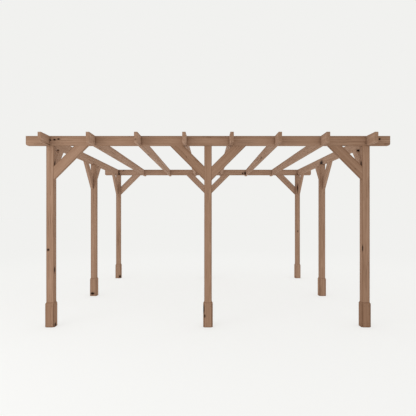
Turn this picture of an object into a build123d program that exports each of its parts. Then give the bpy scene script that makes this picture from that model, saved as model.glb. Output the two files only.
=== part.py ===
"""Open timber pergola on eight posts.

Two beams run along X on the front and rear rows of posts. Eight rafters run along Y
and are halved over the beams, so that all their top edges are level. Forty-five degree
braces stiffen every post along its row, and four thin boards case the foot of each post.

Origin: the middle of the plan at ground level. +Z is up, and the front faces -Y.
All sizes are in millimetres.
"""

import os
from math import cos, radians, sin, sqrt

from build123d import *

# Plan, over the outer faces of the corner posts
plan_width = 4260.0
plan_depth = 4260.0

# Posts
post_size = 98.0
clear_height = 2390.0

# Beams and rafters, cut from one size of board and set on edge
board_depth = 128.0
board_thickness = 44.0
beam_overhang = 270.0
rafter_overhang = 280.0
rafter_count = 8
end_radius = 29.0
beam_notch_depth = 64.0

# Braces
brace_leg = 453.0
brace_depth = 128.0
brace_thickness = 44.0

# Boards that case the foot of each post
foot_height = 326.0
foot_width = 96.0
foot_thickness = 14.0
foot_bevel_height = 20.0
foot_top_land = 3.0

# Eased edges, and the play on each side of a halving joint
arris = 3.0
joint_play = 0.5

# Levels and lengths that follow
board_top = clear_height + board_depth
rafter_notch_depth = board_depth - beam_notch_depth
notch_width = board_thickness + 2 * joint_play
beam_length = plan_width + 2 * beam_overhang
rafter_length = plan_depth + 2 * rafter_overhang
brace_cut = brace_depth * sqrt(2)

# Centre lines of the rows, with the outer faces of all the timbers in one plane
post_row_x = (plan_width - post_size) / 2
post_row_y = (plan_depth - post_size) / 2
beam_row_y = (plan_depth - board_thickness) / 2
rafter_row_x = (plan_width - board_thickness) / 2
brace_row_x = (plan_width - brace_thickness) / 2
brace_row_y = (plan_depth - brace_thickness) / 2
rafter_pitch = 2 * rafter_row_x / (rafter_count - 1)
rafter_places = [index * rafter_pitch - rafter_row_x for index in range(rafter_count)]

posts = {
    "front_left": (-post_row_x, -post_row_y),
    "front_centre": (0, -post_row_y),
    "front_right": (post_row_x, -post_row_y),
    "middle_left": (-post_row_x, 0),
    "middle_right": (post_row_x, 0),
    "rear_left": (-post_row_x, post_row_y),
    "rear_centre": (0, post_row_y),
    "rear_right": (post_row_x, post_row_y),
}


def save(piece, name):
    """Name a finished piece and write it to its own file."""
    piece.part.label = name
    export_step(piece.part, f"parts/{name}.step")


def make_post(name, centre):
    """Square post with eased corners, from the ground to the underside of the boards."""
    with BuildPart() as post:
        with BuildSketch():
            with Locations(centre):
                Rectangle(post_size, post_size)
            chamfer(vertices(), arris)
        extrude(amount=clear_height)
    save(post, f"post_{name}")


def make_halved_board(name, side_plane, length, notch_places, notch_depth, notched_above):
    """Board on edge with rounded lower corners, notched for the boards that cross it."""
    if notched_above:
        notch_centre_z = board_top - notch_depth / 2
    else:
        notch_centre_z = clear_height + notch_depth / 2
    with BuildPart() as board:
        with BuildSketch(side_plane) as outline:
            with Locations((0, clear_height)):
                Rectangle(length, board_depth, align=(Align.CENTER, Align.MIN))
            lower_corners = outline.vertices().group_by(Axis.Y)[0]
            fillet(lower_corners, end_radius)
        extrude(amount=board_thickness / 2, both=True)
        chamfer(board.faces().filter_by(side_plane).edges(), arris)
        with BuildSketch(side_plane):
            with Locations(*[(place, notch_centre_z) for place in notch_places]):
                Rectangle(notch_width, notch_depth)
        extrude(amount=board_thickness / 2, both=True, mode=Mode.SUBTRACT)
    save(board, name)


def make_brace(name, side_plane, post_face, direction):
    """Board at forty-five degrees, mitred against a post face and under a board.

    post_face is where the post's side stands along the row, and direction is +1 or -1,
    the way the brace leans along that row.
    """
    reach = direction * brace_leg
    inner_reach = direction * (brace_leg - brace_cut)
    with BuildPart() as brace:
        with BuildSketch(side_plane):
            with BuildLine():
                Polyline(
                    (post_face, clear_height - brace_leg),
                    (post_face, clear_height - brace_leg + brace_cut),
                    (post_face + inner_reach, clear_height),
                    (post_face + reach, clear_height),
                    close=True,
                )
            make_face()
        extrude(amount=brace_thickness / 2, both=True)
        chamfer(brace.edges().filter_by(leans), arris)
    save(brace, name)


def leans(edge):
    """True for an edge that is neither level nor upright."""
    rise = abs(edge.tangent_at(0).Z)
    return 0.1 < rise < 0.9


def make_foot(name, centre):
    """Four bevelled boards on the four sides of a post, with open corners between them."""
    centre_x, centre_y = centre
    face = post_size / 2
    outer = face + foot_thickness
    with BuildPart() as foot:
        for angle in (0, 90, 180, 270):
            outward = (cos(radians(angle)), sin(radians(angle)), 0)
            sideways = (sin(radians(angle)), -cos(radians(angle)), 0)
            section_plane = Plane(origin=(centre_x, centre_y, 0), x_dir=outward, z_dir=sideways)
            with BuildSketch(section_plane):
                with BuildLine():
                    Polyline(
                        (face, 0),
                        (outer, 0),
                        (outer, foot_height - foot_bevel_height),
                        (face + foot_top_land, foot_height),
                        (face, foot_height),
                        close=True,
                    )
                make_face()
            extrude(amount=foot_width / 2, both=True)
    save(foot, f"foot_{name}")


def make_row_braces(row_name, side_plane, post_places):
    """One brace in each corner between a row's posts and the board above them."""
    half_post = post_size / 2
    number = 1
    for left_post, right_post in zip(post_places, post_places[1:]):
        make_brace(f"brace_{row_name}_{number}", side_plane, left_post + half_post, 1)
        make_brace(f"brace_{row_name}_{number + 1}", side_plane, right_post - half_post, -1)
        number += 2


os.makedirs("parts", exist_ok=True)

for post_name, post_centre in posts.items():
    make_post(post_name, post_centre)
    make_foot(post_name, post_centre)

for row_name, row_y in (("front", -beam_row_y), ("rear", beam_row_y)):
    beam_plane = Plane.XZ.offset(-row_y)
    make_halved_board(
        f"beam_{row_name}", beam_plane, beam_length, rafter_places, beam_notch_depth, True
    )

for index, rafter_x in enumerate(rafter_places, start=1):
    rafter_plane = Plane.YZ.offset(rafter_x)
    make_halved_board(
        f"rafter_{index}",
        rafter_plane,
        rafter_length,
        [-beam_row_y, beam_row_y],
        rafter_notch_depth,
        False,
    )

across = [-post_row_x, 0, post_row_x]
along = [-post_row_y, 0, post_row_y]
make_row_braces("front", Plane.XZ.offset(brace_row_y), across)
make_row_braces("rear", Plane.XZ.offset(-brace_row_y), across)
make_row_braces("left", Plane.YZ.offset(-brace_row_x), along)
make_row_braces("right", Plane.YZ.offset(brace_row_x), along)
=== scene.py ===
# %% [markdown]
# The finished frame of the pergola comes in first. Every timber already stands in its
# place there, so each piece below takes its size from it, and nothing is fitted by eye.

# %% Load the frame
import math
import random

import bmesh
import bpy
from mathutils import Matrix, Vector


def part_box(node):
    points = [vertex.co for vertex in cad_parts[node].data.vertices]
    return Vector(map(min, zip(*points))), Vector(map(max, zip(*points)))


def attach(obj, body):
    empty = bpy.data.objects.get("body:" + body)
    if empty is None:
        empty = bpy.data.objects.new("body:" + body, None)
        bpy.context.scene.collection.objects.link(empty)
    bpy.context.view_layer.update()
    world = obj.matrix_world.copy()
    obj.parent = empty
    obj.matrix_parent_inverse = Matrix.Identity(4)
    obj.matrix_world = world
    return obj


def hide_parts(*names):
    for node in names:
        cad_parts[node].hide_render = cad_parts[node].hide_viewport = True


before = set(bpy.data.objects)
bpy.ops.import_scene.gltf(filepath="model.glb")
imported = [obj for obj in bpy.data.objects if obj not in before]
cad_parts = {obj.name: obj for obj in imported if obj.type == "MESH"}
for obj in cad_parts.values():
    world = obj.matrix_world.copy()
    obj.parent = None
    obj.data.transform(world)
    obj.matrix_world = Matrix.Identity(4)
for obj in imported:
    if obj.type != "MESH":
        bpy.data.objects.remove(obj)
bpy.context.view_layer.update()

# %% [markdown]
# The photograph was taken from in front of the centre post, at eye height, with the
# camera level: all the posts stand upright in it. A tilted camera would make them lean
# together. So the camera stays level here too, and a small lens shift lifts the view, as
# on an architect's camera.

# %% Set up the camera
PHOTO_SIDE = 416
HORIZON_ROW = 213.6
EYE_HEIGHT = 1.495
EYE_DISTANCE = 5.477
LENS = 36.0
SENSOR = 36.0
VIEW_END = 400.0

front_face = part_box("post_front_centre")[0].y
bpy.ops.object.camera_add(
    location=(0.0, front_face - EYE_DISTANCE, EYE_HEIGHT),
    rotation=(math.radians(90), 0.0, 0.0),
)
camera = bpy.context.object
camera.name = "photo_camera"
camera.data.sensor_width = SENSOR
camera.data.lens = LENS
camera.data.shift_y = (HORIZON_ROW - PHOTO_SIDE / 2) / PHOTO_SIDE
camera.data.clip_end = VIEW_END
bpy.context.scene.camera = camera
print("camera at", tuple(camera.location))

# %% [markdown]
# A product photograph like this one has a pale floor that runs into a pale wall with no
# line between them. A wide disc does the same from every side when its own colour and
# its glow add up to the tone of the world. The glow also keeps shadows as faint as they
# are on an overlit studio floor.

# %% Lay the floor
BACKDROP = Vector((0.880, 0.880, 0.863))
FLOOR_RADIUS = 150.0
FLOOR_CORNERS = 96
FLOOR_DROP = 0.002
FLOOR_SHARE = 0.32
POOL_EDGE = 4.0
POOL_END = 11.0
POOL_GLOW = 0.022

bpy.ops.object.select_all(action="DESELECT")
bpy.ops.mesh.primitive_circle_add(
    vertices=FLOOR_CORNERS,
    radius=FLOOR_RADIUS,
    fill_type="NGON",
    location=(0.0, 0.0, -FLOOR_DROP),
)
floor = bpy.context.object
floor.name = "pale_floor"

pale = bpy.data.materials.new("pale_floor")
pale.use_nodes = True
pale_shader = pale.node_tree.nodes["Principled BSDF"]
pale_shader.inputs["Base Color"].default_value = (FLOOR_SHARE, FLOOR_SHARE, FLOOR_SHARE, 1.0)
pale_shader.inputs["Roughness"].default_value = 1.0
pale_shader.inputs["Specular IOR Level"].default_value = 0.0
pale_shader.inputs["Emission Color"].default_value = (*BACKDROP, 1.0)
pale_tree = pale.node_tree
spot = pale_tree.nodes.new("ShaderNodeTexCoord")
distance = pale_tree.nodes.new("ShaderNodeVectorMath")
distance.operation = "LENGTH"
# Within a few metres of the middle the glow is a little stronger: a painted pool of light on the
# floor.
glow = pale_tree.nodes.new("ShaderNodeMapRange")
glow.interpolation_type = "SMOOTHSTEP"
glow.inputs["From Min"].default_value = POOL_EDGE
glow.inputs["From Max"].default_value = POOL_END
glow.inputs["To Min"].default_value = 1.0 - FLOOR_SHARE + POOL_GLOW
glow.inputs["To Max"].default_value = 1.0 - FLOOR_SHARE
pale_tree.links.new(spot.outputs["Object"], distance.inputs[0])
pale_tree.links.new(distance.outputs["Value"], glow.inputs["Value"])
pale_tree.links.new(glow.outputs["Result"], pale_shader.inputs["Emission Strength"])
floor.data.materials.append(pale)

# %% [markdown]
# The light is even from all round, with one large soft lamp close on the left in front.
# It makes the left post the brightest, and leaves the right-hand side of each post a
# little darker.

# %% Light the studio
world = bpy.data.worlds.new("studio")
world.use_nodes = True
world.node_tree.nodes["Background"].inputs["Color"].default_value = (*BACKDROP, 1.0)
world.node_tree.nodes["Background"].inputs["Strength"].default_value = 1.0
bpy.context.scene.world = world
bpy.context.scene.view_settings.view_transform = "Standard"

LAMP_PLACE = Vector((-4.6, -6.4, 2.6))
LAMP_AIM = Vector((-1.0, -1.0, 1.4))
LAMP_SIZE = 4.0
LAMP_POWER = 80.0

bpy.ops.object.light_add(type="AREA", location=LAMP_PLACE)
lamp = bpy.context.object
lamp.name = "soft_lamp"
lamp.data.shape = "DISK"
lamp.data.size = LAMP_SIZE
lamp.data.energy = LAMP_POWER
lamp.rotation_euler = (LAMP_AIM - LAMP_PLACE).to_track_quat("-Z", "Y").to_euler()
lamp.visible_camera = False

# %% [markdown]
# All the timbers are sawn softwood under one brown stain. Real grain isn't painted on:
# each board is a slice out of a trunk, and its faces cut through the growth rings. The
# finish works in the same way. It measures how far a point lies from the heart of the
# trunk, so the sides show long streaks, the sawn ends show arcs, and both agree at the
# corners. An image could not do that.
#
# A small helper keeps the recipe readable: it adds one node, fills in its inputs, and
# makes a link wherever the value that it is given is another node's output.

# %% A helper for node recipes
# The mix node has several sockets of each name, so its colour sockets go by number
COLOUR_A, COLOUR_B, MIXED_COLOUR = 6, 7, 2


def add_node(tree, kind, inputs=None, **settings):
    """Add a node, set its options, and fill or link its inputs by name or number."""
    made = tree.nodes.new(kind)
    for option, value in settings.items():
        setattr(made, option, value)
    for key, value in (inputs or {}).items():
        if isinstance(value, bpy.types.NodeSocket):
            tree.links.new(value, made.inputs[key])
        else:
            made.inputs[key].default_value = value
    return made


def calculate(tree, operation, first, second=0.0, third=0.0):
    """One step of arithmetic on numbers."""
    values = {0: first, 1: second, 2: third}
    return add_node(tree, "ShaderNodeMath", values, operation=operation).outputs[0]


def calculate_vector(tree, operation, first, second=(0.0, 0.0, 0.0)):
    """One step of arithmetic on vectors."""
    made = add_node(tree, "ShaderNodeVectorMath", {0: first, 1: second}, operation=operation)
    return made.outputs["Value" if operation == "LENGTH" else "Vector"]


def fade(tree, value, start, end, low=0.0, high=1.0):
    """A smooth change from low to high while the value goes from start to end."""
    inputs = {"Value": value, "From Min": start, "From Max": end, "To Min": low, "To Max": high}
    return add_node(
        tree, "ShaderNodeMapRange", inputs, interpolation_type="SMOOTHSTEP"
    ).outputs["Result"]


def noise(tree, place, waves, detail=2.0, roughness=0.5):
    """Soft noise, with its own count of waves per metre along and across the grain."""
    stretched = calculate_vector(tree, "MULTIPLY", place, waves)
    inputs = {"Vector": stretched, "Scale": 1.0, "Detail": detail, "Roughness": roughness}
    return add_node(tree, "ShaderNodeTexNoise", inputs).outputs["Fac"]


def blend_colour(tree, share, first, second, blend_type="MIX"):
    """Mix two colours, or multiply the first by the second."""
    inputs = {"Factor": share, COLOUR_A: first, COLOUR_B: second}
    made = add_node(tree, "ShaderNodeMix", inputs, data_type="RGBA", blend_type=blend_type)
    return made.outputs[MIXED_COLOUR]


# %% [markdown]
# Some knots show clearly in the photograph, so these stand where they are seen there, on the real
# faces of the timbers, in metres. A few of these marks sit where timbers meet, under the
# crossings and at the tops of the braces, and there the dark knot is painted shade. The others
# come from cells of noise. The stretch of a knot says which way the grain of its timber runs: a
# knot is longer that way.

# %% Place the knots and the painted shade marks that show in the photograph
ROUND = (1.0, 1.0, 1.0)
ALONG_X = (0.6, 1.0, 1.0)
ALONG_Y = (1.0, 0.35, 1.0)
ALONG_Z = (1.0, 1.0, 0.6)
SHALLOW = (1.8, 0.42, 1.0)
TALL = (1.0, 1.0, 0.25)
LONG = (1.0, 1.0, 0.12)

# Each knot or painted shade mark: its place, its radius and its stretch
SEEN_KNOTS_AND_SHADE = [
    ((-2.104, -2.130, 1.018), 0.013, ROUND),
    ((-2.032, -2.095, 0.750), 0.019, ALONG_Z),
    ((-2.018, -2.104, 0.029), 0.019, ROUND),
    ((-2.032, -2.085, 2.165), 0.013, ALONG_Z),
    ((2.033, -2.130, 1.040), 0.008, TALL),
    ((2.030, -2.130, 1.019), 0.010, ALONG_Z),
    ((2.032, -2.085, 2.160), 0.015, ALONG_Z),
    ((-0.055, -2.130, 0.238), 0.011, TALL),
    ((-0.046, -2.144, 0.150), 0.011, ALONG_Z),
    ((-2.094, -0.063, 0.046), 0.018, ALONG_X),
    ((-2.032, 2.018, 0.040), 0.026, ROUND),
    ((-2.076, -2.130, 2.463), 0.009, ROUND),
    ((-2.021, -2.130, 2.468), 0.0088, ALONG_X),
    ((-1.969, -2.130, 2.476), 0.0088, ALONG_X),
    ((2.258, -2.130, 2.476), 0.012, ROUND),
    # Painted shade: the dark corner between the top of a brace and the rafter above it
    ((2.114, -1.768, 2.381), 0.022, ROUND),
    ((2.086, 0.054, 2.427), 0.034, SHALLOW),
    ((0.809, 2.086, 2.432), 0.015, ROUND),
    ((0.865, 2.086, 2.434), 0.018, ALONG_Z),
    ((0.881, -0.702, 2.421), 0.015, ALONG_Y),
    ((-2.080, 2.086, 2.420), 0.018, ALONG_Z),
    ((-2.074, 2.086, 2.488), 0.012, ROUND),
    ((-1.966, 2.086, 2.508), 0.010, ALONG_X),
    ((2.069, 2.032, 2.090), 0.008, LONG),
]
FAR_OFF = 9.0
print(len(SEEN_KNOTS_AND_SHADE), "knots placed by hand")


def nearness_to_knots_and_shade(tree):
    """Distance to the nearest listed knot or painted shade mark, counted in radii of that mark.
    """
    here = add_node(tree, "ShaderNodeTexCoord").outputs["Object"]
    nearest = FAR_OFF
    for place, radius, stretch in SEEN_KNOTS_AND_SHADE:
        away = calculate_vector(tree, "SUBTRACT", here, place)
        scale = tuple(part / radius for part in stretch)
        radii = calculate_vector(tree, "LENGTH", calculate_vector(tree, "MULTIPLY", away, scale))
        nearest = calculate(tree, "MINIMUM", radii, nearest)
    return nearest


# %% [markdown]
# Now the wood itself, as one group that all the finishes share. Each piece carries three
# attributes that the group reads: where a point lies in its trunk, where it lies in the
# section of its timber, and how light that timber is.
#
# Nearly everything in the recipe is noise, stretched to a count of waves per metre along
# the grain and across it. The other numbers are metres, or shares from nought to one.

# %% Mix the wood
RING_WIDTH = 0.0048
SLOW_BEND, SLOW_WAVES = 0.055, (0.55, 3.2, 3.2)
QUICK_BEND, QUICK_WAVES = 0.004, (2.6, 24.0, 24.0)
STREAK_WAVES = (0.9, 42.0, 42.0)
FIBRE_WAVES = (9.0, 420.0, 420.0)
CLOUD_WAVES = (1.6, 5.0, 5.0)
SAW_WAVES = (330.0, 14.0, 14.0)

KNOT_CELLS = (4.6, 8.5, 8.5)
KNOT_RARITY = 0.945
KNOT_LEAST, KNOT_SPREAD = 0.05, 0.07
KNOT_BEND = 0.011
KNOT_RINGS = 3.5
KNOT_HALO = 0.55
KNOT_ROUGHNESS = -0.14
RIM_WAVES, RIM_SPREAD = (40.0, 70.0, 70.0), 0.5

SPLIT_WAVES = (0.8, 30.0, 30.0)
SPLIT_PATCHES = (1.9, 9.0, 9.0)
SPLIT_SHADE = 0.45

# How far, in metres, and with how many samples the occlusion node looks for nearby timbers when
# it paints shade into corners
CORNER_REACH = 0.06
OCCLUSION_SAMPLES = 8
END_STAIN = 0.40
# Below this much painted top shade, a finish darkens on all its arrises
LEAST_TOP_SHADE = 0.01

RING_HEIGHT = 0.00022
FIBRE_HEIGHT = 0.00035
SAW_HEIGHT = 0.00030
SPLIT_HEIGHT = -0.0016
KNOT_HEIGHT = 0.0007

SPRINGWOOD = (0.352, 0.216, 0.145, 1.0)
SUMMERWOOD = (0.272, 0.159, 0.102, 1.0)
KNOT_HEART = (0.028, 0.010, 0.005, 1.0)
KNOT_BARK = (0.008, 0.003, 0.002, 1.0)
# The tint by which both the stain and the painted shade darken the wood
STAIN_AND_SHADE_TINT = (0.50, 0.41, 0.33, 1.0)
WARMING = (1.25, 1.50)


def mix_wood():
    """The group that turns a place in the trunk into colour, roughness and height."""
    tree = bpy.data.node_groups.new("sawn_wood", "ShaderNodeTree")
    for name, kind in (
        ("Colour", "NodeSocketColor"),
        ("Roughness", "NodeSocketFloat"),
        ("Height", "NodeSocketFloat"),
    ):
        tree.interface.new_socket(name=name, in_out="OUTPUT", socket_type=kind)
    tree.interface.new_socket(name="TopShade", in_out="INPUT", socket_type="NodeSocketFloat")
    top_shade = add_node(tree, "NodeGroupInput").outputs["TopShade"]

    place = add_node(tree, "ShaderNodeAttribute", attribute_name="trunk").outputs["Vector"]
    section = add_node(tree, "ShaderNodeAttribute", attribute_name="section").outputs["Vector"]
    tone = add_node(tree, "ShaderNodeAttribute", attribute_name="tone").outputs["Fac"]

    # Knots: cells of noise, of which only a few hold a knot
    cells = calculate_vector(tree, "MULTIPLY", place, KNOT_CELLS)
    branch = add_node(
        tree, "ShaderNodeTexVoronoi", {"Vector": cells, "Scale": 1.0, "Randomness": 0.9}
    )
    luck = add_node(tree, "ShaderNodeSeparateColor", {0: branch.outputs["Color"]})
    girth = calculate(tree, "MULTIPLY_ADD", luck.outputs[0], KNOT_SPREAD, KNOT_LEAST)
    radii = calculate(tree, "DIVIDE", branch.outputs["Distance"], girth)
    absent = calculate(tree, "LESS_THAN", luck.outputs[1], KNOT_RARITY)
    radii = calculate(tree, "MULTIPLY_ADD", absent, FAR_OFF, radii)
    radii = calculate(tree, "MINIMUM", radii, nearness_to_knots_and_shade(tree))
    ragged = noise(tree, place, RIM_WAVES)
    radii = calculate(tree, "SUBTRACT", radii, RIM_SPREAD / 2)
    radii = calculate(tree, "MULTIPLY_ADD", ragged, RIM_SPREAD, radii)
    knot_and_shade_mark = fade(tree, radii, 1.1, 0.8)
    pull = fade(tree, radii, 3.4, 0.7)

    # Growth rings about the heart, drawn outwards round each knot
    slow = noise(tree, place, SLOW_WAVES)
    quick = noise(tree, place, QUICK_WAVES)
    parts = add_node(tree, "ShaderNodeSeparateXYZ", {0: place})
    flat = add_node(
        tree, "ShaderNodeCombineXYZ", {1: parts.outputs[1], 2: parts.outputs[2]}
    ).outputs[0]
    reach = calculate_vector(tree, "LENGTH", flat)
    for wave, bend in ((slow, SLOW_BEND), (quick, QUICK_BEND), (pull, KNOT_BEND)):
        reach = calculate(tree, "MULTIPLY_ADD", wave, bend, reach)
    ring = calculate(tree, "FRACT", calculate(tree, "DIVIDE", reach, RING_WIDTH))
    late = calculate(tree, "MULTIPLY", fade(tree, ring, 0.25, 0.86), fade(tree, ring, 1.0, 0.93))

    # Streaks, fibres and cloudy stain
    streak = noise(tree, place, STREAK_WAVES, 3.0, 0.55)
    fibre = noise(tree, place, FIBRE_WAVES, 3.0, 0.6)
    cloud = noise(tree, place, CLOUD_WAVES, 3.0)
    share = calculate(tree, "MULTIPLY", late, fade(tree, cloud, 0.3, 0.7, 0.35, 0.8))
    colour = blend_colour(tree, share, SPRINGWOOD, SUMMERWOOD)
    shade = fade(tree, streak, 0.28, 0.72, 0.90, 1.09)
    shade = calculate(tree, "MULTIPLY", shade, fade(tree, fibre, 0.25, 0.75, 0.90, 1.10))
    shade = calculate(tree, "MULTIPLY", shade, fade(tree, cloud, 0.25, 0.75, 0.95, 1.05))
    shade = calculate(tree, "MULTIPLY", shade, tone)

    # Fine splits that follow the grain
    wander = noise(tree, place, SPLIT_WAVES, 1.0)
    off_line = calculate(tree, "ABSOLUTE", calculate(tree, "SUBTRACT", wander, 0.5))
    patch = noise(tree, place, SPLIT_PATCHES, 1.0)
    split = calculate(
        tree, "MULTIPLY", fade(tree, off_line, 0.007, 0.001), fade(tree, patch, 0.54, 0.60)
    )
    shade = calculate(tree, "MULTIPLY", shade, fade(tree, split, 0.0, 1.0, 1.0, SPLIT_SHADE))

    # Dark wood is warmer in colour too, and light wood is paler
    green = calculate(tree, "POWER", shade, WARMING[0])
    blue = calculate(tree, "POWER", shade, WARMING[1])
    tint = add_node(tree, "ShaderNodeCombineColor", {0: shade, 1: green, 2: blue}).outputs[0]
    colour = blend_colour(tree, 1.0, colour, tint, "MULTIPLY")

    # Stain gathers at the ends and wears on the corners. Where timbers meet, an occlusion node
    # darkens the colour with painted shade. On a board the colour is painted darker towards its
    # top edge, as painted shade, and of its arrises only the top ones darken; on the other
    # timbers every arris does.
    across = add_node(tree, "ShaderNodeSeparateXYZ", {0: section})
    side = calculate(tree, "ABSOLUTE", across.outputs[1])
    both_edges = calculate(tree, "LESS_THAN", top_shade, LEAST_TOP_SHADE)
    below = calculate(tree, "MULTIPLY", calculate(tree, "ABSOLUTE", across.outputs[2]), both_edges)
    edge = calculate(tree, "MAXIMUM", across.outputs[2], below)
    # Darker arrises: worn stain, with painted shade on the boards, where only the top arrises are
    # darkened and the lower ones, lit from the floor, are left light.
    corner = fade(tree, side, 0.80, 0.99)
    corner = calculate(tree, "MULTIPLY", corner, fade(tree, edge, 0.80, 0.99))
    wear_and_shade = calculate(tree, "MULTIPLY", corner, fade(tree, cloud, 0.35, 0.65, 0.45, 0.75))
    # Painted shade: on a board the colour darkens towards its top edge.
    painted_top_shade = calculate(tree, "MULTIPLY", fade(tree, across.outputs[2], 0.3, 1.0), top_shade)
    near_end = fade(tree, across.outputs[0], 0.70, 1.0, 0.0, END_STAIN)
    # Painted shade: an occlusion node darkens the colour where other timbers stand close by.
    corners = {"Distance": CORNER_REACH}
    openness = add_node(
        tree, "ShaderNodeAmbientOcclusion", corners, samples=OCCLUSION_SAMPLES
    ).outputs["AO"]
    painted_corner_shade = fade(tree, openness, 0.85, 0.10)
    stain_and_shade = wear_and_shade
    for other in (near_end, painted_corner_shade, painted_top_shade):
        stain_and_shade = calculate(tree, "MAXIMUM", stain_and_shade, other)
    darkened = blend_colour(tree, 1.0, colour, STAIN_AND_SHADE_TINT, "MULTIPLY")
    colour = blend_colour(tree, stain_and_shade, colour, darkened)

    # The knots, and the marks of painted shade listed with them, go over everything, with rings
    # of their own and a dark rim of bark
    knot_ring = calculate(tree, "FRACT", calculate(tree, "MULTIPLY", radii, KNOT_RINGS))
    knot_colour = blend_colour(tree, fade(tree, knot_ring, 0.2, 0.9), KNOT_HEART, KNOT_BARK)
    halo = calculate(tree, "MULTIPLY", fade(tree, radii, 2.2, 0.9), KNOT_HALO)
    colour = blend_colour(tree, halo, colour, KNOT_HEART)
    colour = blend_colour(tree, knot_and_shade_mark, colour, knot_colour)

    rough = fade(tree, streak, 0.3, 0.7, 0.80, 0.66)
    rough = calculate(tree, "MULTIPLY_ADD", knot_and_shade_mark, KNOT_ROUGHNESS, rough)

    # Height in metres: hard summer rings, fibres, saw marks across, splits and knots
    saw = noise(tree, place, SAW_WAVES, 1.0)
    height = calculate(tree, "MULTIPLY", late, RING_HEIGHT)
    for relief, most in (
        (fibre, FIBRE_HEIGHT),
        (saw, SAW_HEIGHT),
        (split, SPLIT_HEIGHT),
        (knot_and_shade_mark, KNOT_HEIGHT),
    ):
        height = calculate(tree, "MULTIPLY_ADD", relief, most, height)

    add_node(
        tree, "NodeGroupOutput", {"Colour": colour, "Roughness": rough, "Height": height}
    )
    return tree


sawn_wood = mix_wood()
print("wood mixed from", len(sawn_wood.nodes), "nodes")


# %% Make one finish for each kind of timber
SHEEN = 0.04
# How much painted shade a board takes towards its top edge
BOARD_TOP_SHADE = 0.32


def timber_finish(name, top_shade=0.0):
    """A matt stained finish on the shared wood, with painted shade towards its top edge."""
    finish = bpy.data.materials.new(name)
    finish.use_nodes = True
    tree = finish.node_tree
    shader = tree.nodes["Principled BSDF"]
    shader.inputs["Specular IOR Level"].default_value = SHEEN
    wood = add_node(tree, "ShaderNodeGroup", {"TopShade": top_shade}, node_tree=sawn_wood)
    relief = {"Height": wood.outputs["Height"], "Distance": 1.0, "Strength": 1.0}
    bump = add_node(tree, "ShaderNodeBump", relief)
    tree.links.new(wood.outputs["Colour"], shader.inputs["Base Color"])
    tree.links.new(wood.outputs["Roughness"], shader.inputs["Roughness"])
    tree.links.new(bump.outputs["Normal"], shader.inputs["Normal"])
    return finish


post_finish = timber_finish("stained_post")
board_finish = timber_finish("stained_board", BOARD_TOP_SHADE)
brace_finish = timber_finish("stained_brace")
foot_finish = timber_finish("stained_foot_board")

# %% [markdown]
# Each kind of timber is modelled once, lying along X about the origin, like a plank on a
# pair of trestles. There it is easy to saw, notch and ease. Copies of it then get their
# own drying splits and their own slight unevenness before they are stood in place, so no
# two are alike.

# %% Hold one piece at a time
TOUCH = 1e-5


def nodes_of(kind):
    """The names of the frame's nodes of one kind, in order."""
    return sorted(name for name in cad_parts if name.startswith(kind + "_"))


def work_on(piece):
    """Select one piece alone and make it the active one."""
    if bpy.context.mode != "OBJECT":
        bpy.ops.object.mode_set(mode="OBJECT")
    bpy.ops.object.select_all(action="DESELECT")
    piece.select_set(True)
    bpy.context.view_layer.objects.active = piece


def start_timber(name, length, thickness, depth):
    """A squared baulk with its length along X, its thickness along Y and its depth along Z."""
    bpy.ops.object.select_all(action="DESELECT")
    bpy.ops.mesh.primitive_cube_add(size=1.0, location=(0.0, 0.0, 0.0))
    piece = bpy.context.object
    piece.name = name
    piece.scale = (length, thickness, depth)
    bpy.ops.object.transform_apply(location=True, rotation=True, scale=True)
    return piece


def pick(piece, kind, wanted):
    """In edit mode, select the edges or vertices that pass a test, and count them."""
    bpy.ops.mesh.select_mode(type=kind)
    bpy.ops.mesh.select_all(action="DESELECT")
    shape = bmesh.from_edit_mesh(piece.data)
    chosen = 0
    for item in shape.edges if kind == "EDGE" else shape.verts:
        if wanted(item):
            item.select_set(True)
            chosen += 1
    shape.select_flush_mode()
    bmesh.update_edit_mesh(piece.data)
    return chosen


def all_ends(edge, test):
    """True if both ends of an edge pass a test on their place."""
    return test(edge.verts[0].co) and test(edge.verts[1].co)


def run_along(edge):
    """How far an edge runs along the timber's length."""
    return abs(edge.verts[0].co.x - edge.verts[1].co.x)


def saw_off(piece, point, outward):
    """Cut the piece through and throw away what lies on the outward side."""
    bpy.ops.mesh.select_mode(type="VERT")
    bpy.ops.mesh.select_all(action="SELECT")
    bpy.ops.mesh.bisect(
        plane_co=point, plane_no=outward, use_fill=True, clear_outer=True, clear_inner=False
    )


def score(piece, axis, places):
    """Draw lines right round the piece, square to one axis, without cutting it."""
    normal = Vector((0.0, 0.0, 0.0))
    normal[axis] = 1.0
    for place in places:
        bpy.ops.mesh.select_mode(type="VERT")
        bpy.ops.mesh.select_all(action="SELECT")
        bpy.ops.mesh.bisect(plane_co=normal * place, plane_no=normal)


def steps(half, gap):
    """Evenly spaced places between minus half and plus half, ends left out."""
    count = max(2, round(2 * half / gap))
    return [-half + 2 * half * number / count for number in range(1, count)]


# %% [markdown]
# The post is the plainest timber: four long corners are eased with a plane, and lines are
# scored along and across it. The scored lines change nothing yet. They are what the
# splits open along, and what lets the faces lose their dead flatness.

# %% Model the post
ARRIS = 0.002
ARRIS_STEPS = 2
RING_GAP = 0.055

post_low, post_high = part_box("post_front_centre")
POST_LENGTH = post_high.z - post_low.z
POST_SIDE = post_high.x - post_low.x

post_model = start_timber("post_model", POST_LENGTH, POST_SIDE, POST_SIDE)
bpy.ops.object.mode_set(mode="EDIT")
pick(post_model, "EDGE", lambda edge: run_along(edge) > POST_SIDE)
bpy.ops.mesh.bevel(offset=ARRIS, segments=ARRIS_STEPS, affect="EDGES")
POST_LINES = [-0.031, -0.017, 0.0, 0.014, 0.029]
score(post_model, 0, steps(POST_LENGTH / 2, RING_GAP))
score(post_model, 1, POST_LINES)
score(post_model, 2, POST_LINES)
bpy.ops.object.mode_set(mode="OBJECT")
print("post model:", len(post_model.data.polygons), "faces")

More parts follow.
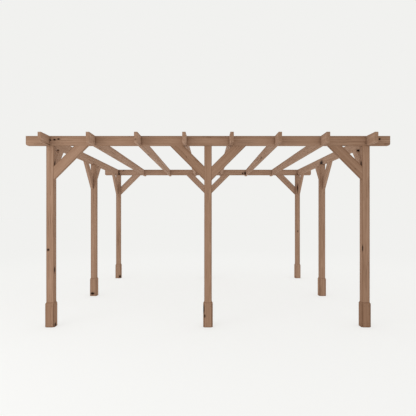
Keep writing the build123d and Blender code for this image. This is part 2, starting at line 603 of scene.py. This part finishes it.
# %% [markdown]
# Beams and rafters are the same board on edge. Its two lower end corners are rounded,
# which a bevel of several segments does, and only then are the long arrises eased, so
# that the easing runs round the rounded corners as a spokeshave would take it. The
# halving notches are cut last, by a block that is taken away with a Boolean modifier:
# that is the saw and chisel of this bench.

# %% Model the halved boards
END_RADIUS = 0.029
END_STEPS = 8
NOTCH_PLAY = 0.0005
HOLE_RADIUS = 0.0075
HOLE_DEPTH = 0.004
HOLE_SIDES = 24
BOARD_LINES = [-0.043, -0.024, -0.006, 0.016, 0.037]

beam_low, beam_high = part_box("beam_front")
BEAM_LENGTH = beam_high.x - beam_low.x
BOARD_THICK = beam_high.y - beam_low.y
BOARD_DEPTH = beam_high.z - beam_low.z
rafter_names = nodes_of("rafter")
rafter_low, rafter_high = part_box(rafter_names[0])
RAFTER_LENGTH = rafter_high.y - rafter_low.y
RAFTER_PLACES = [sum(corner.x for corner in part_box(name)) / 2 for name in rafter_names]
BEAM_PLACES = [sum(corner.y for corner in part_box(name)) / 2 for name in nodes_of("beam")]


def take_away(piece, block):
    """Cut a block's shape out of a piece, and throw the block away."""
    work_on(piece)
    cut = piece.modifiers.new("cut", "BOOLEAN")
    cut.operation = "DIFFERENCE"
    cut.solver = "EXACT"
    cut.object = block
    bpy.ops.object.modifier_apply(modifier=cut.name)
    bpy.data.objects.remove(block)


def model_halved_board(name, length, notch_places, side, hole_places=()):
    """A board with rounded lower ends, notched on top (side 1) or below (side -1)."""
    board = start_timber(name, length, BOARD_THICK, BOARD_DEPTH)
    half_length, half_thick, half_depth = length / 2, BOARD_THICK / 2, BOARD_DEPTH / 2
    bpy.ops.object.mode_set(mode="EDIT")
    pick(
        board,
        "EDGE",
        lambda edge: all_ends(edge, lambda co: co.z < 0) and run_along(edge) < TOUCH,
    )
    bpy.ops.mesh.bevel(offset=END_RADIUS, segments=END_STEPS, affect="EDGES")
    for face in (-1, 1):
        pick(
            board,
            "EDGE",
            lambda edge: all_ends(edge, lambda co: abs(co.y - face * half_thick) < TOUCH),
        )
        bpy.ops.mesh.bevel(offset=ARRIS, segments=ARRIS_STEPS, affect="EDGES")
    bpy.ops.object.mode_set(mode="OBJECT")

    notch_size = (BOARD_THICK + 2 * NOTCH_PLAY, 2 * BOARD_THICK, BOARD_DEPTH)
    for place in notch_places:
        bpy.ops.mesh.primitive_cube_add(size=1.0, location=(place, 0.0, side * half_depth))
        bpy.context.object.scale = notch_size
        take_away(board, bpy.context.object)
    for place in hole_places:
        bpy.ops.mesh.primitive_cylinder_add(
            vertices=HOLE_SIDES,
            radius=HOLE_RADIUS,
            depth=2 * HOLE_DEPTH,
            location=(place, 0.0, half_depth),
        )
        take_away(board, bpy.context.object)

    work_on(board)
    bpy.ops.object.mode_set(mode="EDIT")
    score(board, 0, steps(half_length, RING_GAP))
    score(board, 1, [0.0])
    score(board, 2, BOARD_LINES)
    bpy.ops.object.mode_set(mode="OBJECT")
    print(name, len(board.data.polygons), "faces")
    return board


beam_model = model_halved_board("beam_model", BEAM_LENGTH, RAFTER_PLACES, 1)
rafter_model = model_halved_board(
    "rafter_model", RAFTER_LENGTH, BEAM_PLACES, -1, BEAM_PLACES
)

# %% [markdown]
# A brace is a short length of the same board with both ends sawn at forty-five degrees.
# It is made in just that way: a board as long as its longer edge, and two cuts.

# %% Model the brace
BRACE_DEPTH = 0.128

brace_low, brace_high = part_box("brace_front_1")
BRACE_LEG = brace_high.x - brace_low.x
BRACE_THICK = brace_high.y - brace_low.y
BRACE_LENGTH = BRACE_LEG * math.sqrt(2)

brace_model = start_timber("brace_model", BRACE_LENGTH, BRACE_THICK, BRACE_DEPTH)
bpy.ops.object.mode_set(mode="EDIT")
for end in (-1, 1):
    saw_off(
        brace_model,
        (end * BRACE_LENGTH / 2, 0.0, -BRACE_DEPTH / 2),
        (end, 0.0, 1.0),
    )
pick(brace_model, "EDGE", lambda edge: run_along(edge) > 2 * BRACE_DEPTH)
bpy.ops.mesh.bevel(offset=ARRIS, segments=ARRIS_STEPS, affect="EDGES")
score(brace_model, 0, steps(BRACE_LENGTH / 2, RING_GAP))
score(brace_model, 1, [0.0])
score(brace_model, 2, BOARD_LINES)
bpy.ops.object.mode_set(mode="OBJECT")
print("brace model:", len(brace_model.data.polygons), "faces")

# %% [markdown]
# Four thin boards case the foot of each post. Rain has to run off their top ends, so those
# are sawn to a slope, and only a narrow land is left against the post.

# %% Model the foot board
FOOT_THICK = 0.014
FOOT_WIDE = 0.096
FOOT_SLOPE = 0.020
FOOT_LAND = 0.003
FOOT_ARRIS = 0.0012
FOOT_LINES = [-0.022, 0.004, 0.027]

foot_low, foot_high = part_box("foot_front_centre")
FOOT_LENGTH = foot_high.z - foot_low.z

foot_model = start_timber("foot_board_model", FOOT_LENGTH, FOOT_THICK, FOOT_WIDE)
bpy.ops.object.mode_set(mode="EDIT")
slope_normal = Vector((FOOT_THICK - FOOT_LAND, FOOT_SLOPE, 0.0))
saw_off(foot_model, (FOOT_LENGTH / 2, FOOT_LAND - FOOT_THICK / 2, 0.0), slope_normal)
pick(
    foot_model,
    "EDGE",
    lambda edge: all_ends(edge, lambda co: co.y > FOOT_THICK / 2 - TOUCH)
    and run_along(edge) > FOOT_WIDE,
)
bpy.ops.mesh.bevel(offset=FOOT_ARRIS, segments=ARRIS_STEPS, affect="EDGES")
score(foot_model, 0, steps(FOOT_LENGTH / 2, RING_GAP))
score(foot_model, 2, FOOT_LINES)
bpy.ops.object.mode_set(mode="OBJECT")
print("foot board model:", len(foot_model.data.polygons), "faces")

# %% [markdown]
# Timber splits along the grain as it dries. A split is opened on a scored line: the run
# of edges is bevelled into a narrow strip, the strip is drawn to a point at both ends, and
# its middle is pushed down into the wood.

# %% Open drying splits
SPLIT_WIDTH = 0.0011
SPLIT_DEPTH = 0.005


def open_split(piece, face_axis, face_side, half, line, start, end):
    """Open one split on a face: on a scored line, between two places along the length."""
    side_axis = 3 - face_axis

    def on_line(co, spread=TOUCH):
        return (
            abs(co[face_axis] - face_side * half) < TOUCH
            and abs(co[side_axis] - line) < spread
            and start < co.x < end
        )

    if pick(piece, "EDGE", lambda edge: all_ends(edge, on_line)) < 2:
        return
    run = [vert.co.x for vert in bmesh.from_edit_mesh(piece.data).verts if vert.select]
    first, last = min(run), max(run)
    bpy.ops.mesh.bevel(offset=SPLIT_WIDTH, segments=2, affect="EDGES", clamp_overlap=True)
    for tip in (first, last):
        pick(
            piece,
            "VERT",
            lambda vert: on_line(vert.co, 1.5 * SPLIT_WIDTH) and abs(vert.co.x - tip) < TOUCH,
        )
        bpy.ops.mesh.merge(type="CENTER")
    push = Vector((0.0, 0.0, 0.0))
    push[face_axis] = -face_side * SPLIT_DEPTH
    pick(
        piece,
        "VERT",
        lambda vert: on_line(vert.co) and first + TOUCH < vert.co.x < last - TOUCH,
    )
    bpy.ops.transform.translate(value=push)


# %% [markdown]
# Each copy takes its place in four steps. It gets its splits; then every point notes where
# it lies in its own trunk, which the finish reads; then the piece is stood in place and
# the placing is baked into its mesh; and last, soft clouds of noise move its long faces
# in and out by up to half a millimetre. Its ends, and a board's top and bottom, keep
# their places, so that the joints stay shut and the frame keeps its size.

# %% Stand a copy in its place
UNEVEN = 0.0010
CLOUD_SIZE = 0.22
END_ZONE = 0.05
ENDWISE = 0.6
SMOOTH_UP_TO = math.radians(32)
TRUNK_LENGTH = 40.0
HEART_ASIDE = 0.06
HEART_BELOW = (0.02, 0.09)
chance = random.Random(20)
clouds = bpy.data.textures.new("sawn_unevenness", "CLOUDS")
clouds.noise_scale = CLOUD_SIZE


def note_grain(piece, size, tone, heart):
    """Write the attributes that the wood reads, from the piece's place on the trestles."""
    mesh = piece.data
    trunk_start = Vector((chance.uniform(0.0, TRUNK_LENGTH), *heart))
    trunk, section = [], []
    for vert in mesh.vertices:
        from_end = size[0] / 2 - abs(vert.co.x)
        trunk.extend(vert.co + trunk_start)
        section.append(max(0.0, 1.0 - from_end / END_ZONE))
        section.extend(2 * vert.co[axis] / size[axis] for axis in (1, 2))
    for name, values in (("trunk", trunk), ("section", section)):
        mesh.attributes.new(name, "FLOAT_VECTOR", "POINT").data.foreach_set("vector", values)
    tones = mesh.attributes.new("tone", "FLOAT", "POINT")
    tones.data.foreach_set("value", [tone] * len(mesh.vertices))


def copy_of(model):
    """A copy of a model, with a mesh of its own."""
    piece = model.copy()
    piece.data = model.data.copy()
    bpy.context.scene.collection.objects.link(piece)
    return piece


def join(pieces, name):
    """Join several pieces into one with its own name."""
    bpy.ops.object.select_all(action="DESELECT")
    for piece in pieces:
        piece.select_set(True)
    bpy.context.view_layer.objects.active = pieces[0]
    bpy.ops.object.join()
    joined = bpy.context.object
    joined.name = name
    joined.data.name = name
    return joined


def stand(model, name, size, splits, placing, tone, heart=None, level_faces=False):
    """Copy a model, split it, note its grain, place it and roughen it."""
    piece = copy_of(model)
    piece.name = name
    piece.data.name = name
    work_on(piece)
    if splits:
        bpy.ops.object.mode_set(mode="EDIT")
        for split in splits:
            open_split(piece, *split)
        bpy.ops.object.mode_set(mode="OBJECT")
    if heart is None:
        aside = chance.uniform(-HEART_ASIDE, HEART_ASIDE)
        heart = (aside, chance.choice((-1, 1)) * chance.uniform(*HEART_BELOW))
    note_grain(piece, size, tone, heart)
    fitted = set()
    for face in piece.data.polygons:
        if abs(face.normal.x) > ENDWISE or (level_faces and abs(face.normal.z) > ENDWISE):
            fitted.update(face.vertices)
    free = [vert.index for vert in piece.data.vertices if vert.index not in fitted]
    faces = piece.vertex_groups.new(name="faces")
    faces.add(free, 1.0, "REPLACE")
    piece.matrix_world = placing
    bpy.ops.object.transform_apply(location=True, rotation=True, scale=True)
    rough = piece.modifiers.new("unevenness", "DISPLACE")
    rough.texture = clouds
    rough.texture_coords = "LOCAL"
    rough.mid_level = 0.5
    rough.strength = UNEVEN
    rough.vertex_group = faces.name
    bpy.ops.object.modifier_apply(modifier=rough.name)
    piece.vertex_groups.clear()
    bpy.ops.object.shade_smooth_by_angle(angle=SMOOTH_UP_TO)
    return piece


def axes(along, thick, deep, place):
    """A placing from the directions that length, thickness and depth take."""
    turn = Matrix((along, thick, deep)).transposed()
    return Matrix.Translation(place) @ turn.to_4x4()


def centre_of(node):
    """The middle of a node's box."""
    low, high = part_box(node)
    return (low + high) / 2


UP = Vector((0.0, 0.0, 1.0))
RIGHT = Vector((1.0, 0.0, 0.0))
BACK = Vector((0.0, 1.0, 0.0))

# %% [markdown]
# Timbers never take stain alike. Each kind has its own lightness here, and the timbers that look
# lighter or darker than their kind in the photograph are named with theirs. Part of this
# lightness is painted light: the rear and inner timbers are set lighter and the front ones
# darker, in place of the light and shade that fall on them.

# %% Set how light each timber is
TONES = {
    "post": 1.05,
    "post_front_left": 1.03,
    "post_front_centre": 0.95,
    "post_front_right": 0.96,
    "beam": 1.00,
    "beam_rear": 1.09,
    "rafter": 1.10,
    "rafter_1": 1.15,
    "rafter_2": 1.18,
    "rafter_3": 1.22,
    "rafter_4": 1.22,
    "rafter_8": 1.15,
    "brace": 1.15,
    "brace_front_1": 1.00,
    "brace_front_2": 0.87,
    "brace_front_3": 0.92,
    "brace_front_4": 0.86,
    "brace_rear_1": 1.30,
    "brace_rear_2": 1.12,
    "brace_right_1": 1.22,
    "foot": 1.03,
    "foot_front_left": 0.92,
    "foot_front_centre": 0.93,
    "foot_front_right": 0.80,
    "foot_rear_right": 1.15,
}


def tone_of(node):
    """A timber's lightness, part stain and part painted light, or the lightness of its kind."""
    kind = node.split("_")[0]
    return TONES.get(node, TONES[kind])


# %% [markdown]
# The posts first. Most faces of a post this thick have one long split or none.

# %% Stand the posts
SPLIT_ODDS = 0.7
POST_SPLIT_MIDDLES = (-0.7, 0.8)
POST_SPLIT_REACHES = (0.15, 0.45)
POST_HEART = 0.03

timbers = []
for node in nodes_of("post"):
    splits = []
    for face_axis in (1, 2):
        for face_side in (-1, 1):
            if chance.random() < SPLIT_ODDS:
                middle = chance.uniform(*POST_SPLIT_MIDDLES)
                reach = chance.uniform(*POST_SPLIT_REACHES)
                line = chance.choice(POST_LINES[1:-1])
                splits.append(
                    (face_axis, face_side, POST_SIDE / 2, line, middle - reach, middle + reach)
                )
    post = stand(
        post_model,
        "timber_" + node,
        (POST_LENGTH, POST_SIDE, POST_SIDE),
        splits,
        axes(UP, RIGHT, BACK, centre_of(node)),
        tone_of(node),
        (chance.uniform(-POST_HEART, POST_HEART), chance.uniform(-POST_HEART, POST_HEART)),
    )
    post.data.materials.append(post_finish)
    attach(post, "root")
    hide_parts(node)
    timbers.append(post)
print(len(timbers), "posts stand")

# %% [markdown]
# The boards next. The beams lie along X and the rafters along Y, and each has a few short
# splits on its two broad faces.

# %% Lay the beams and rafters
BOARD_SPLITS = 3
BOARD_SPLIT_MIDDLES = (-2.0, 2.0)
BOARD_SPLIT_REACHES = (0.10, 0.30)


def board_splits():
    """Random splits on the two broad faces of a board."""
    splits = []
    for number in range(BOARD_SPLITS):
        middle = chance.uniform(*BOARD_SPLIT_MIDDLES)
        reach = chance.uniform(*BOARD_SPLIT_REACHES)
        side = chance.choice((-1, 1))
        line = chance.choice(BOARD_LINES[1:-1])
        splits.append((1, side, BOARD_THICK / 2, line, middle - reach, middle + reach))
    return splits


for node in nodes_of("beam") + rafter_names:
    if node.startswith("beam"):
        model, length = beam_model, BEAM_LENGTH
        placing = axes(RIGHT, BACK, UP, centre_of(node))
    else:
        model, length = rafter_model, RAFTER_LENGTH
        placing = axes(BACK, -RIGHT, UP, centre_of(node))
    board = stand(
        model,
        "timber_" + node,
        (length, BOARD_THICK, BOARD_DEPTH),
        board_splits(),
        placing,
        tone_of(node),
        level_faces=True,
    )
    board.data.materials.append(board_finish)
    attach(board, "root")
    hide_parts(node)
    timbers.append(board)
print(len(timbers), "posts and boards stand")

# %% [markdown]
# A brace's box says where it stands, but not which way it leans. Its number does: along
# each row, the odd ones lean forward from the post before them, and the even ones lean
# back from the post after them. Each is set out from the corner between its post and the
# board above.

# %% Fix the braces
def brace_placing(node):
    """The placing of a brace in its corner, leaning away from its post."""
    row, number = node.split("_")[1:]
    lean = 1 if int(number) % 2 else -1
    row_way = RIGHT if row in ("front", "rear") else BACK
    low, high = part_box(node)
    centre = (low + high) / 2
    along = (row_way * lean + UP).normalized()
    deep = (UP - row_way * lean).normalized()
    corner = centre - row_way * lean * (BRACE_LEG / 2)
    corner.z = high.z
    middle = corner + (row_way * lean - UP) * (BRACE_LEG / 2) + deep * (BRACE_DEPTH / 2)
    return axes(along, deep.cross(along), deep, middle)


for node in nodes_of("brace"):
    brace = stand(
        brace_model,
        "timber_" + node,
        (BRACE_LENGTH, BRACE_THICK, BRACE_DEPTH),
        [],
        brace_placing(node),
        tone_of(node),
    )
    brace.data.materials.append(brace_finish)
    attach(brace, "root")
    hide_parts(node)
    timbers.append(brace)
print(len(timbers), "posts, boards and braces stand")

# %% [markdown]
# Each foot is four copies of the one board, turned round the post and joined into one
# piece. Boards sawn from one plank still differ a little in lightness.

# %% Case the feet
SIDES = (RIGHT, BACK, -RIGHT, -BACK)
FOOT_SIZE = (FOOT_LENGTH, FOOT_THICK, FOOT_WIDE)
FOOT_TONES = (0.98, 1.02)


def foot_placing(node, outward):
    """A board on one side of a post, its length upright and its sloped face outwards."""
    place = centre_of(node) + outward * (POST_SIDE / 2 + FOOT_THICK / 2)
    return axes(UP, outward, UP.cross(outward), place)


for node in nodes_of("foot"):
    boards = []
    for number, outward in enumerate(SIDES):
        tone = tone_of(node) * chance.uniform(*FOOT_TONES)
        placing = foot_placing(node, outward)
        boards.append(stand(foot_model, f"{node}_{number}", FOOT_SIZE, [], placing, tone))
    casing = join(boards, "timber_" + node)
    casing.data.materials.append(foot_finish)
    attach(casing, "root")
    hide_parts(node)
    timbers.append(casing)
print(len(timbers), "pieces dressed")

# %% [markdown]
# The photograph is too far off to show any screws or nails, but such a frame is held by
# them, and up close it would look bare without. One long screw goes down through each
# crossing, sunk in a hole so that rain can't lift it; one goes through each end of a
# brace, from its lower edge; and small round nails hold the foot boards.

# %% Model a screw and a nail
SCREW_RADIUS, SCREW_HEIGHT, SCREW_HOLLOW = 0.0055, 0.0024, 0.0010
NAIL_RADIUS, NAIL_HEIGHT, NAIL_HOLLOW = 0.0036, 0.0016, -0.0002
HEAD_SIDES = 20
HEAD_TAPER = 0.6
HEAD_EASING = 0.2
HOLLOW_MARGIN = 0.42


def model_fixing(name, radius, height, hollow):
    """A round head lying face up, tapered below, with its middle hollowed or raised."""
    bpy.ops.object.select_all(action="DESELECT")
    bpy.ops.mesh.primitive_cylinder_add(vertices=HEAD_SIDES, radius=radius, depth=height)
    head = bpy.context.object
    head.name = name
    bpy.ops.object.mode_set(mode="EDIT")
    pick(head, "VERT", lambda vert: vert.co.z < 0)
    bpy.ops.transform.resize(
        value=(HEAD_TAPER, HEAD_TAPER, 1.0), center_override=(0.0, 0.0, 0.0)
    )
    pick(head, "EDGE", lambda edge: all_ends(edge, lambda co: co.z > 0))
    bpy.ops.mesh.bevel(offset=height * HEAD_EASING, segments=2, affect="EDGES")
    bpy.ops.mesh.select_mode(type="FACE")
    bpy.ops.mesh.select_all(action="DESELECT")
    shape = bmesh.from_edit_mesh(head.data)
    top = max(shape.faces, key=lambda face: face.calc_center_median().z)
    top.select_set(True)
    bmesh.update_edit_mesh(head.data)
    bpy.ops.mesh.inset(thickness=radius * HOLLOW_MARGIN)
    bpy.ops.transform.translate(value=(0.0, 0.0, -hollow))
    bpy.ops.object.mode_set(mode="OBJECT")
    print(name, len(head.data.polygons), "faces")
    return head


screw_model = model_fixing("screw_model", SCREW_RADIUS, SCREW_HEIGHT, SCREW_HOLLOW)
nail_model = model_fixing("nail_model", NAIL_RADIUS, NAIL_HEIGHT, NAIL_HOLLOW)

# %% [markdown]
# Steel that is left out of doors turns dull and brown. The finish mixes two browns by a
# coarse noise, which also makes the rusty spots rougher, and a fine noise pits it.

# %% Give the steel its finish
BRIGHT_STEEL = (0.150, 0.098, 0.068, 1.0)
RUSTY_STEEL = (0.085, 0.042, 0.022, 1.0)
STEEL_METALLIC = 0.7
BLOTCH_WAVES = (350.0, 350.0, 350.0)
GRIT_WAVES = (1800.0, 1800.0, 1800.0)
GRIT_HEIGHT = 0.0002


def mix_steel():
    """Dull brown steel, blotched by weather."""
    finish = bpy.data.materials.new("browned_steel")
    finish.use_nodes = True
    tree = finish.node_tree
    shader = tree.nodes["Principled BSDF"]
    shader.inputs["Metallic"].default_value = STEEL_METALLIC
    here = add_node(tree, "ShaderNodeTexCoord").outputs["Object"]
    blotch = noise(tree, here, BLOTCH_WAVES, 3.0)
    grit = noise(tree, here, GRIT_WAVES)
    colour = blend_colour(tree, fade(tree, blotch, 0.40, 0.62), BRIGHT_STEEL, RUSTY_STEEL)
    rough = fade(tree, blotch, 0.35, 0.65, 0.42, 0.75)
    bump = add_node(tree, "ShaderNodeBump", {"Height": grit, "Distance": GRIT_HEIGHT})
    tree.links.new(colour, shader.inputs["Base Color"])
    tree.links.new(rough, shader.inputs["Roughness"])
    tree.links.new(bump.outputs["Normal"], shader.inputs["Normal"])
    return finish


steel_finish = mix_steel()

# %% [markdown]
# Every fixing is a copy of its model at a place worked out from the timbers: over each
# crossing, near both ends of each brace, and four to each foot board.

# %% Drive the screws and nails
BRACE_SCREW = 0.065
NAIL_ALONG = 0.115
NAIL_ACROSS = 0.030
PROUD = 0.0004


def drive(model, name, placings):
    """Copy a fixing to every place, and join the copies into one piece."""
    heads = []
    for placing in placings:
        head = copy_of(model)
        head.matrix_world = placing
        heads.append(head)
    piece = join(heads, name)
    bpy.ops.object.transform_apply(location=True, rotation=True, scale=True)
    bpy.ops.object.shade_smooth_by_angle(angle=SMOOTH_UP_TO)
    piece.data.materials.append(steel_finish)
    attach(piece, "root")
    print(name, len(heads), "heads,", len(piece.data.polygons), "faces")


down_holes = [
    Matrix.Translation((across, along, post_high.z + BOARD_DEPTH - HOLE_DEPTH + SCREW_HEIGHT / 2))
    for across in RAFTER_PLACES
    for along in BEAM_PLACES
]
drive(screw_model, "rafter_screws", down_holes)

face_down = Matrix.Rotation(math.pi, 4, "X")
face_out = Matrix.Rotation(-math.pi / 2, 4, "X")
up_braces = []
for node in nodes_of("brace"):
    for end in (-1, 1):
        reach = end * (BRACE_LENGTH / 2 - BRACE_SCREW)
        head_middle = -BRACE_DEPTH / 2 + SCREW_HEIGHT / 2 - PROUD
        spot = Matrix.Translation((reach, 0.0, head_middle))
        up_braces.append(brace_placing(node) @ spot @ face_down)
drive(screw_model, "brace_screws", up_braces)

round_feet = []
for node in nodes_of("foot"):
    for outward in SIDES:
        for along in (-NAIL_ALONG, NAIL_ALONG):
            for across in (-NAIL_ACROSS, NAIL_ACROSS):
                head_middle = FOOT_THICK / 2 - NAIL_HEIGHT / 2 + PROUD
                spot = Matrix.Translation((along, head_middle, across))
                round_feet.append(foot_placing(node, outward) @ spot @ face_out)
drive(nail_model, "foot_nails", round_feet)

# %% [markdown]
# The models have done their work. Only the pieces that stand in place are kept.

# %% Clear the trestles
timber_models = [post_model, beam_model, rafter_model, brace_model, foot_model]
for model in timber_models + [screw_model, nail_model]:
    bpy.data.objects.remove(model)
